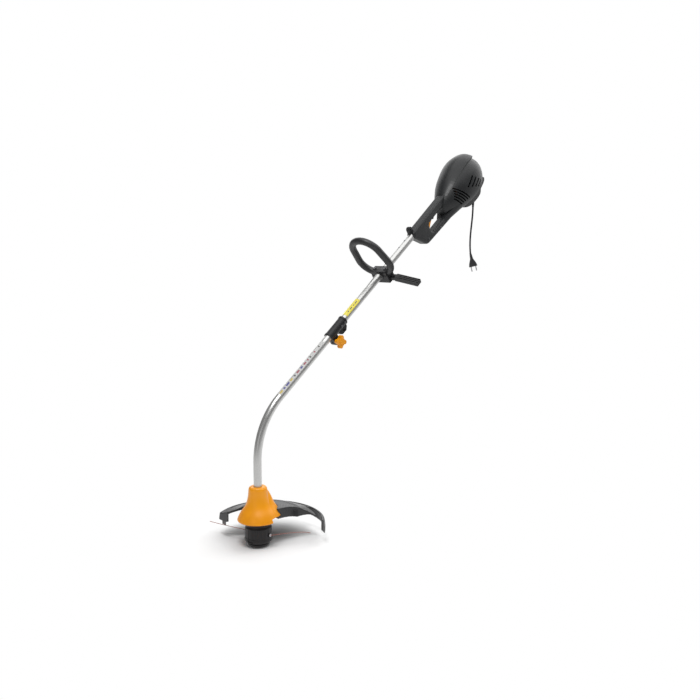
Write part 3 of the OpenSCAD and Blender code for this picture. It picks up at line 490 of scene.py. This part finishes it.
# %% Softened doubles of solids
def evened(shape, *steps):
    """A shape's mesh after a few modifiers, each given as (kind, settings)."""
    for kind, settings in steps:
        step = shape.modifiers.new(kind.lower(), kind)
        for key, value in settings.items():
            setattr(step, key, value)
    shown = bpy.context.evaluated_depsgraph_get()
    mesh = bpy.data.meshes.new_from_object(shape.evaluated_get(shown))
    shape.modifiers.clear()
    return mesh


def softened(node, cell, times, share, body, material):
    """A new piece with a solid's shape and soft edges, which keeps a share of its remeshed faces."""
    double = bpy.data.objects.new(node + "_moulding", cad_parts[node].data.copy())
    bpy.context.scene.collection.objects.link(double)
    double.data = evened(double, ("REMESH", {"mode": "VOXEL", "voxel_size": cell}),
                         ("SMOOTH", {"factor": 0.5, "iterations": times}), ("DECIMATE", {"ratio": share}))
    double.data.materials.clear()
    double.data.materials.append(material)
    for face in double.data.polygons:
        face.use_smooth = True
    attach(double, body)
    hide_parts(node)
    print(node, "softened to", len(double.data.polygons), "faces")


softened("bell_housing", 0.0011, 14, 0.3, "boom", BELL)
softened("guard", 0.0013, 12, 0.3, "boom", GUARD)

# %% [markdown]
# ## The mains lead
#
# The lead leaves the bracket under the motor through a tapered relief, hangs under its own weight with only a
# little of its coiled set left in it, and ends in a flat two-pin plug. It is short, about a fifth of a metre:
# the extension lead plugs on at the bottom. A curve with a round bevel is the natural way to make it, because
# the curve's own line is then the cord's centreline.

# %% The lead's route and the cord itself
route = [(1.144, 0, 1.112), (1.144, 0, 1.094), (1.143, 0, 1.076), (1.141, 0, 1.056), (1.137, 0, 1.030),
         (1.133, 0, 1.005), (1.130, 0, 0.980), (1.129, 0, 0.956), (1.130, 0, 0.934), (1.133, 0, 0.912)]
line = rounded(route, 4)
cord_length = sum((b - a).length for a, b in zip(line, line[1:]))
curve = bpy.data.curves.new("mains_lead", "CURVE")
curve.dimensions, curve.bevel_depth, curve.bevel_resolution, curve.use_fill_caps = "3D", 0.0035, 5, True
spline = curve.splines.new("POLY")
spline.points.add(len(line) - 1)
for point, at in zip(spline.points, line):
    point.co = (*at, 1)
curve.materials.append(PVC)
lead = bpy.data.objects.new("mains_lead", curve)
bpy.context.scene.collection.objects.link(lead)
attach(lead, "upper")
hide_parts("mains_cord")
print("the lead is", round(cord_length, 3), "m long")

# %% [markdown]
# The plug is the flat two-pin kind, moulded on in one soft piece: a ribbed boot that widens into a flared body.
# A skin over a few rounded sections makes it, each section a half width, a half thickness and a distance. The
# strain relief at the lead's other end is ribbed the same way, and tapers downwards.

# %% The moulded plug and the strain relief
FACE_TURN, HANG_LEAN = -46, 14
turn_plug = (Matrix.Rotation(math.radians(FACE_TURN), 3, "Z")
             @ Matrix.Rotation(math.radians(180 - HANG_LEAN), 3, "Y"))
plug_at = Vector(route[-1])


def soft_oval(half_width, half_depth, at, count=32, square=2.6):
    """A ring of points between an oval and a rectangle, across the plug."""
    ring = []
    for k in range(count):
        a = 2 * math.pi * k / count
        c, s = math.cos(a), math.sin(a)
        ring.append(plug_at + turn_plug @ Vector((half_width * math.copysign(abs(c) ** (2 / square), c),
                                                  half_depth * math.copysign(abs(s) ** (2 / square), s), at)))
    return ring


def boot_sections(ribs=6, pitch=0.0036, first_r=0.0046, swell=0.0004, groove=0.0009):
    """The plug's ribbed boot: each rib a little wider than the last, with a groove after it."""
    sections = [soft_oval(0.0041, 0.0041, -0.001, square=2)]
    for k in range(ribs):
        z, r = pitch * k, first_r + swell * k
        for half_width, at in ((r, z + 0.0002), (r, z + 0.0022), (r - groove, z + 0.0026),
                               (r - groove, z + 0.0033)):
            sections.append(soft_oval(half_width, half_width, at, square=2))
    return sections


def flared_sections():
    """The plug's body, from the boot's end to the face that the pins stand out of."""
    return [soft_oval(w, d, z, square=q) for w, d, z, q in (
        (0.0068, 0.0052, 0.0222, 2.2), (0.0085, 0.0056, 0.027, 2.4), (0.0118, 0.0058, 0.034, 2.7),
        (0.0148, 0.0059, 0.042, 3), (0.0163, 0.0060, 0.048, 3.2), (0.0170, 0.0060, 0.0515, 3.4),
        (0.0170, 0.0059, 0.0532, 3.4), (0.0163, 0.0053, 0.0540, 3.4))]


def relief_rings(top, ribs=9, pitch=0.0029, widest=0.0058, taper=0.00019, groove=0.0008, sides=28):
    """The strain relief's ribs, from its top down."""
    rings = []
    for k in range(ribs):
        z, r = pitch * k, widest - taper * k
        for out, down in ((r, z + 0.0001), (r, z + 0.0018),
                          (r - groove, z + 0.0021), (r - groove, z + 0.0027)):
            rings.append([top + Vector((out * math.cos(a), out * math.sin(a), -down))
                          for a in (2 * math.pi * j / sides for j in range(sides))])
    return rings


moulding = skin(boot_sections() + flared_sections())
plug = piece("plug_moulding", moulding, "upper", PVC, smooth=50)
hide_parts("plug_body")
relief = skin(relief_rings(Vector((1.144, 0, 1.1245))))
boot = piece("strain_relief", relief, "upper", PVC, smooth=50)
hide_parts("cord_relief")

# %% [markdown]
# ## The soft loop handle
#
# The loop is a ring with a soft skin, moulded in one with the top half of its clamp. Its line is two arcs joined
# by straight sides, mirrored. It lies in a plane that leans a little from square to the pole.

# %% The ring's line
HANDLE_AT, RING_LEAN = 0.623, math.radians(9)
TOP_OUT, TOP_R, LOW_OUT, LOW_R, LOW_SIDE = 0.105, 0.059, 0.057, 0.054, 0.013


def on_ring(side, out, up):
    """A point of the ring: to the right, out along its plane, and off that plane up the pole."""
    return on_pole(HANDLE_AT + up * math.cos(RING_LEAN) - out * math.sin(RING_LEAN), side,
                   out * math.cos(RING_LEAN) + up * math.sin(RING_LEAN))


def ring_line():
    """The ring's centreline in its plane: a top arc and a low arc on the right, then mirrored to the left."""
    rise = TOP_OUT - LOW_OUT
    side_turn = math.atan2(rise, -LOW_SIDE) - math.acos((LOW_R - TOP_R) / math.hypot(LOW_SIDE, rise))
    arcs = ((Vector((0, TOP_OUT)), TOP_R, math.pi / 2, side_turn, 30),
            (Vector((LOW_SIDE, LOW_OUT)), LOW_R, side_turn, -math.pi / 2, 40))
    half = []
    for middle, radius, start, end, steps in arcs:
        for k in range(steps + 1):
            a = start + (end - start) * k / steps
            half.append(middle + radius * Vector((math.cos(a), math.sin(a))))
    return half + [Vector((-p.x, p.y)) for p in half[-2:0:-1]]


print("the ring's line has", len(ring_line()), "points")

# %% [markdown]
# Sweeping a round section along the line with enough steps keeps the ring smooth close up. A fine ridge on both
# sides is the line where the two halves of the mould met. The half clamp at its foot is a block with a round
# channel, extruded along the pole, with its end edges bevelled.

# %% The ring's skin and its half clamp
GRIP_R, MOULD_RIDGE = 0.0125, 0.0003
CLAMP_SIDE, CLAMP_TOP, CLAMP_CORNER, CLAMP_REACH, CHANNEL_R = 0.036, 0.018, 0.002, 0.017, 0.0154


def grip_rings(line, sides=40):
    """A round section at each point of the ring's line."""
    rings = []
    for k, p in enumerate(line):
        ahead = (line[(k + 1) % len(line)] - line[k - 1]).normalized()
        outward = Vector((ahead.y, -ahead.x))
        ring = []
        for j in range(sides):
            a = 2 * math.pi * j / sides
            r = GRIP_R + (MOULD_RIDGE if j % (sides // 2) == 0 else 0)
            q = p + r * math.cos(a) * outward
            ring.append(on_ring(q.x, q.y, r * math.sin(a)))
        rings.append(ring)
    return rings


def clamp_outline():
    """The half clamp seen along the pole: a channel between two feet, and a top with its corners cut."""
    channel = [(CHANNEL_R * math.cos(a), CHANNEL_R * math.sin(a))
               for a in (math.radians(d) for d in range(178, 0, -8))]
    foot, shoulder = 0.0005, CLAMP_TOP - CLAMP_CORNER
    return [(-CLAMP_SIDE, foot)] + channel + [
        (CLAMP_SIDE, foot), (CLAMP_SIDE, shoulder), (CLAMP_SIDE - CLAMP_CORNER, CLAMP_TOP),
        (CLAMP_CORNER - CLAMP_SIDE, CLAMP_TOP), (-CLAMP_SIDE, shoulder)]


def ring_and_clamp():
    """The ring's skin and the half clamp as one mesh."""
    rings = grip_rings(ring_line())
    mesh = skin(rings + [rings[0]], capped=False)
    build = bmesh.new()
    build.from_mesh(mesh)
    bmesh.ops.remove_doubles(build, verts=build.verts, dist=1e-6)
    outline = clamp_outline()
    ends = [[build.verts.new(on_pole(HANDLE_AT + z, x, y)) for x, y in outline]
            for z in (-CLAMP_REACH, CLAMP_REACH)]
    caps = [build.faces.new(ends[0]), build.faces.new(ends[1][::-1])]
    for k in range(len(outline)):
        j = (k + 1) % len(outline)
        build.faces.new((ends[0][k], ends[0][j], ends[1][j], ends[1][k]))
    rim = {edge for cap in caps for edge in cap.edges}
    bmesh.ops.bevel(build, geom=list(rim), offset=0.0012, segments=2, affect="EDGES", clamp_overlap=True)
    bmesh.ops.recalc_face_normals(build, faces=build.faces)
    build.to_mesh(mesh)
    build.free()
    return mesh


handle_mesh = ring_and_clamp()
print("the ring and its half clamp have", len(handle_mesh.polygons), "faces")

# %% [markdown]
# The pole and the liner on it pass through the foot of the ring, so the moulding has a bore there. An exact
# boolean cuts it, because the ring's wall and the block overlap where they meet.

# %% The bore for the pole
BORE_R, BORE_REACH = 0.0153, 0.1


def bored(mesh, sides=48):
    """The mesh without what the pole and its liner pass through."""
    turns = [2 * math.pi * k / sides for k in range(sides)]
    bore = skin([[on_pole(HANDLE_AT + z, BORE_R * math.cos(a), BORE_R * math.sin(a)) for a in turns]
                 for z in (-BORE_REACH, BORE_REACH)])
    whole, cutter = (bpy.data.objects.new("shape", shape) for shape in (mesh, bore))
    for shape in (whole, cutter):
        bpy.context.scene.collection.objects.link(shape)
    cut = evened(whole, ("BOOLEAN", {"operation": "DIFFERENCE", "object": cutter, "solver": "EXACT",
                                     "use_self": True}))
    for shape in (whole, cutter):
        bpy.data.objects.remove(shape)
    cut.materials.clear()
    return cut


ring_piece = piece("loop_handle_moulding", bored(handle_mesh), "front_handle", GRIP, smooth=40)
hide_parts("loop_handle")

# %% [markdown]
# ## The bump spring
#
# A coil of round wire inside the drum. It is swept as a tube round a helix.

# %% The spring's coil
WIRE_R, COIL_TURNS, COIL_STEPS = 0.0008, 3, 28


def coil_rings(reach, foot, top):
    """Round sections along a helix of wire, whose centreline goes from foot to top at a reach from the axis."""
    rings = []
    for k in range(COIL_TURNS * COIL_STEPS + 1):
        a = 2 * math.pi * k / COIL_STEPS
        climb = (top - foot) * k / (COIL_TURNS * COIL_STEPS)
        middle = Vector((reach * math.cos(a), reach * math.sin(a), foot + climb))
        outward = Vector((math.cos(a), math.sin(a), 0))
        rings.append([middle + WIRE_R * (math.cos(b) * outward + math.sin(b) * Vector((0, 0, 1)))
                      for b in (2 * math.pi * j / 10 for j in range(10))])
    return rings


low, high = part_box("bump_spring")
top = high[2] - WIRE_R
wound = coil_rings((high[0] - low[0]) / 2 - WIRE_R, low[2] + WIRE_R, top)
coil = piece("spring_coil", skin(wound), "head", ZINC, smooth=60)
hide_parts("bump_spring")
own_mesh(coil)

# %% [markdown]
# ## The labels
#
# Two foil labels wrap part of the way round the tubes: a yellow one above the coupling, and a long pale one
# below it. They carry plain dashes and nothing to read. Each is its own thin curved sheet with a real edge, a
# tenth of a millimetre off the tube, because paint on the tube could not show that edge.

# %% A label wrapped round the pole
FOIL_INSIDE, FOIL_OUTSIDE = 0.00012, 0.00024


def label(name, start, end, middle, spread, body, material, steps=12, across=24):
    """A sheet on the pole from start to end, spread either side of an angle from the operator's right."""
    sheet = []
    for r in (TUBE_R + FOIL_INSIDE, TUBE_R + FOIL_OUTSIDE):
        row = []
        for k in range(across + 1):
            a = math.radians(middle - spread + 2 * spread * k / across)
            row.append((r * math.cos(a), r * math.sin(a)))
        sheet.append(row)
    ring = sheet[0] + sheet[1][::-1]
    rows = [[on_pole(start + (end - start) * k / steps, y, n) for y, n in ring] for k in range(steps + 1)]
    piece(name, skin(rows), body, material, smooth=40)


def printed(name, ground, dashes, row):
    """Label foil: a ground colour with plain dashes, each (start, end, colour) up the pole, in one row."""
    p = Paint(name)
    along, sideways = p.along(UP_POLE, POLE_START), p.along(RIGHT)

    def between(value, start, end, blur):
        return p.band(value, start, start + blur) * p.band(value, end, end + blur, 1, 0)

    in_row = between(sideways, *row, 0.0002)
    colour = ground
    for start, end, ink in dashes:
        colour = p.mix(colour, ink, between(along, start, end, 0.0003) * in_row)
    wear = p.noise(300, 3)
    return p.finish(colour, 0.35 + 0.1 * wear, p.bump(wear, 0.1, 0.00003), coat_weight=0.3)


YELLOW, INK = (0.70, 0.60, 0.06), (0.05, 0.05, 0.04)
yellow_foil = printed("yellow_foil", YELLOW, [(0.398, 0.406, INK), (0.412, 0.424, INK), (0.432, 0.437, INK),
                                              (0.443, 0.455, INK)], (-0.0085, -0.0055))
label("yellow_label", 0.383, 0.466, 97, 62, "upper", yellow_foil)
BLUE, RED, GREY, GOLD = (0.020, 0.022, 0.20), (0.26, 0.035, 0.06), (0.06, 0.06, 0.065), (0.48, 0.36, 0.04)
long_dashes = [(0.006, 0.020, GOLD), (0.026, 0.034, BLUE), (0.040, 0.056, BLUE), (0.062, 0.074, GOLD),
               (0.084, 0.090, GREY), (0.098, 0.112, RED), (0.120, 0.130, BLUE), (0.138, 0.150, RED),
               (0.158, 0.164, RED), (0.172, 0.178, INK), (0.196, 0.202, RED), (0.222, 0.227, INK)]
pale_foil = printed("pale_foil", (0.46, 0.46, 0.455), long_dashes, (-0.0082, -0.0024))
label("long_label", 0.002, 0.250, 108, 32, "boom", pale_foil)

# %% [markdown]
# ## Rivets on the upper tube
#
# Two small dark rivets sit on top of the tube below the rear handle. The upper one is a low dome, and the lower
# one is set flush, because the sliding front handle passes over it.

# %% The rivets
RIVETS = ((0.752, 0.00001), (0.792, 0.0018))


def rivet(up, proud, sides=20):
    """A dome on the tube's top, as proud of it as given, whose height follows the tube's curve."""
    turns = [2 * math.pi * j / sides for j in range(sides)]
    rings = []
    for r, h in ((0.0034, -0.001), (0.0034, 0.2 * proud), (0.0030, 0.6 * proud), (0.0018, 0.9 * proud),
                 (0.0005, proud)):
        rings.append([on_pole(up + r * math.cos(a), r * math.sin(a),
                              math.sqrt(TUBE_R ** 2 - (r * math.sin(a)) ** 2) + h) for a in turns])
    return skin(rings)


for k, (up, proud) in enumerate(RIVETS):
    piece(f"tube_rivet_{k + 1}", rivet(up, proud), "upper", OILED)

# %% [markdown]
# ## Floor, light and air
#
# A white floor under soft studio light. Away from the head the camera sees it as plain white, reflections see
# it partly so, and round the head it takes the soft contact shadow. The lamps are large, so that the black
# mouldings get broad soft highlights, and only the key lamp is narrow, for the streak along the motor housing.

# %% The floor
floor_mesh = bpy.data.meshes.new("floor")
build = bmesh.new()
bmesh.ops.create_grid(build, x_segments=1, y_segments=1, size=40)
build.to_mesh(floor_mesh)
build.free()
floor = bpy.data.objects.new("floor", floor_mesh)
bpy.context.scene.collection.objects.link(floor)


def floor_finish():
    """White paint that takes a shadow round the head and turns to plain white further out."""
    p = Paint("studio_floor")
    reach = p.node("ShaderNodeVectorMath", {"operation": "LENGTH"}, {0: p.place}, out="Value")
    lit = p.node("ShaderNodeBsdfDiffuse", None, {"Color": (0.93, 0.93, 0.93)})
    white = p.node("ShaderNodeEmission", None, {"Color": (1, 1, 1), "Strength": 1.0})
    seen = p.node("ShaderNodeLightPath", out="Is Camera Ray")
    gloss = p.node("ShaderNodeLightPath", out="Is Glossy Ray")
    share = seen * p.band(reach, 0.17, 0.33, 0.0, 1.0) + 0.35 * gloss
    return p.output(p.node("ShaderNodeMixShader", None, {0: share, 1: lit, 2: white}))


floor_mesh.materials.append(floor_finish())
print("the floor is in")

# %% The world and the lamps
world = bpy.data.worlds.new("studio")
bpy.context.scene.world = world
world.use_nodes = True
tree = world.node_tree
tree.nodes.clear()
ROOM_GLOW, BACKDROP = 0.24, 1.0
path = tree.nodes.new("ShaderNodeLightPath")
glow, backdrop, choice = (tree.nodes.new(kind) for kind in ("ShaderNodeBackground", "ShaderNodeBackground",
                                                            "ShaderNodeMixShader"))
for shade, strength in ((glow, ROOM_GLOW), (backdrop, BACKDROP)):
    shade.inputs["Color"].default_value, shade.inputs["Strength"].default_value = (1, 1, 1, 1), strength
end = tree.nodes.new("ShaderNodeOutputWorld")
tree.links.new(path.outputs["Is Camera Ray"], choice.inputs[0])
tree.links.new(glow.outputs[0], choice.inputs[1])
tree.links.new(backdrop.outputs[0], choice.inputs[2])
tree.links.new(choice.outputs[0], end.inputs[0])


def lamp(name, at, towards, size, watts):
    """A rectangular lamp that stands at one point and shines towards another."""
    data = bpy.data.lights.new(name, "AREA")
    data.shape, data.energy = "RECTANGLE", watts
    data.size, data.size_y = size
    made = bpy.data.objects.new(name, data)
    made.location = at
    made.rotation_mode = "QUATERNION"
    made.rotation_quaternion = (Vector(towards) - Vector(at)).to_track_quat("-Z", "Y")
    bpy.context.scene.collection.objects.link(made)


lamp("key", (-0.72, -0.58, 2.50), (0.75, 0, 0.95), (0.75, 0.28), 20)
lamp("top", (0.35, -0.6, 3.4), (0.35, 0, 0.3), (4.0, 4.0), 80)
lamp("right", (2.4, -0.5, 2.0), (0.1, 0, 0.2), (2.0, 2.0), 22)
lamp("back", (2.0, 1.9, 1.8), (0.1, 0, 0.1), (3.0, 2.6), 32)
lamp("left", (-2.4, -0.8, 1.0), (0.5, 0, 0.6), (1.4, 1.4), 3)
bpy.context.scene.view_settings.view_transform = "Standard"
